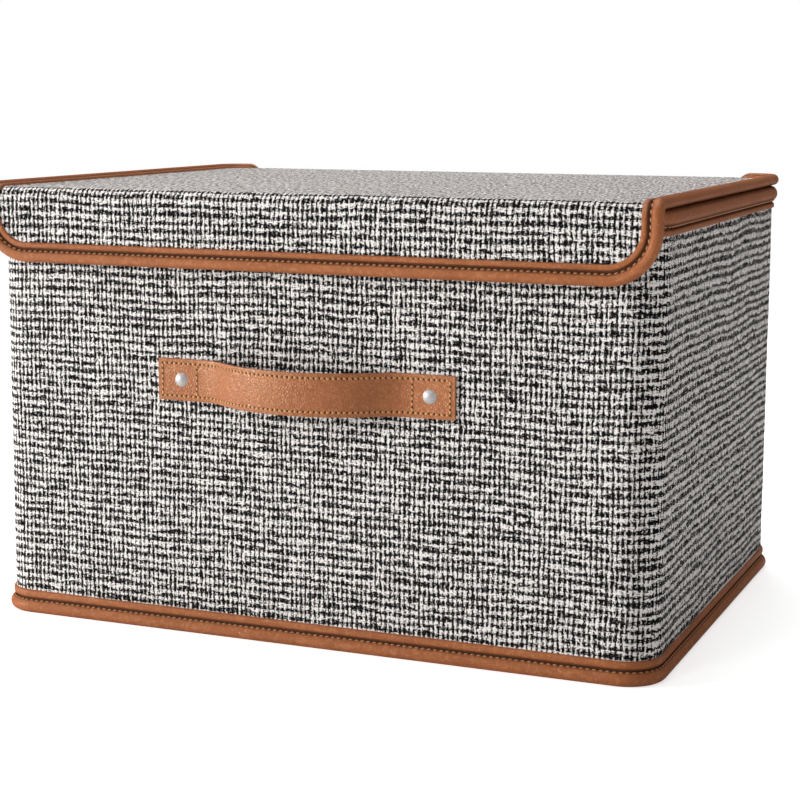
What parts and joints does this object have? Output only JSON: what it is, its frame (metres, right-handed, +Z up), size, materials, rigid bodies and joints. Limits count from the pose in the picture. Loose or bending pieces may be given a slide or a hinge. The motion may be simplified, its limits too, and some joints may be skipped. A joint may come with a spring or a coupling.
{
  "type": "lidded storage box",
  "caption": "Rectangular tweed-covered storage box with a hinged lid, a turned-down front flap, piped leatherette edges and an arched riveted strap handle.",
  "frame": {"origin": "on the floor under the middle of the four walls", "axes": "+Z up, the strap and flap face -Y, +X to the right as seen from the front"},
  "size_m": [0.4072, 0.3279, 0.2575],
  "materials": {
    "greyboard": "matt grey-brown pressed board",
    "lining": "matt grey non-woven cloth",
    "cord": "soft undyed piping cord",
    "leatherette": "tan leatherette with a fine grain and a satin sheen",
    "rivet_steel": "satin nickel",
    "tweed": "black and white slubbed tweed"
  },
  "bodies": {
    "box": {"front_board": "greyboard", "back_board": "greyboard", "left_board": "greyboard", "right_board": "greyboard", "bottom_board": "greyboard", "body_fabric": "tweed", "body_lining": "lining", "base_fabric": "lining", "floor_lining": "lining", "base_binding": "leatherette", "base_cord": "cord", "rim_binding": "leatherette", "rim_cord": "cord", "hinge_strip": "tweed", "handle_strap": "leatherette", "strap_lining": "leatherette", "rivet_left": "rivet_steel", "rivet_right": "rivet_steel", "rivet_washer_left": "rivet_steel", "rivet_washer_right": "rivet_steel"},
    "lid": {"lid_board": "greyboard", "lid_fabric": "tweed", "lid_lining": "lining", "lid_binding_left": "leatherette", "lid_binding_right": "leatherette", "lid_cord_left": "cord", "lid_cord_right": "cord", "crease_fabric": "tweed", "crease_lining": "lining", "crease_binding_left": "leatherette", "crease_binding_right": "leatherette", "crease_cord_left": "cord", "crease_cord_right": "cord"},
    "flap": {"flap_board": "greyboard", "flap_fabric": "tweed", "flap_lining": "lining", "flap_binding": "leatherette", "flap_cord": "cord"},
    "base_insert": {"insert_board": "greyboard", "insert_cover": "lining"}
  },
  "joints": [
    {"name": "lid_hinge", "type": "hinge", "parent": "box", "child": "lid", "pos_m": [0, 0.1505, 0.2541], "axis": [-1, 0, 0], "range_deg": [0, 175], "deforming": ["hinge_strip"]},
    {"name": "flap_hinge", "type": "hinge", "parent": "lid", "child": "flap", "pos_m": [0, -0.1512, 0.2481], "axis": [-1, 0, 0], "range_deg": [0, 90], "deforming": ["crease_fabric", "crease_lining", "crease_binding_left", "crease_binding_right", "crease_cord_left", "crease_cord_right"]},
    {"name": "insert_lift", "type": "slide", "parent": "box", "child": "base_insert", "axis": [0, 0, 1], "range_m": [0, 0.2]}
  ]
}
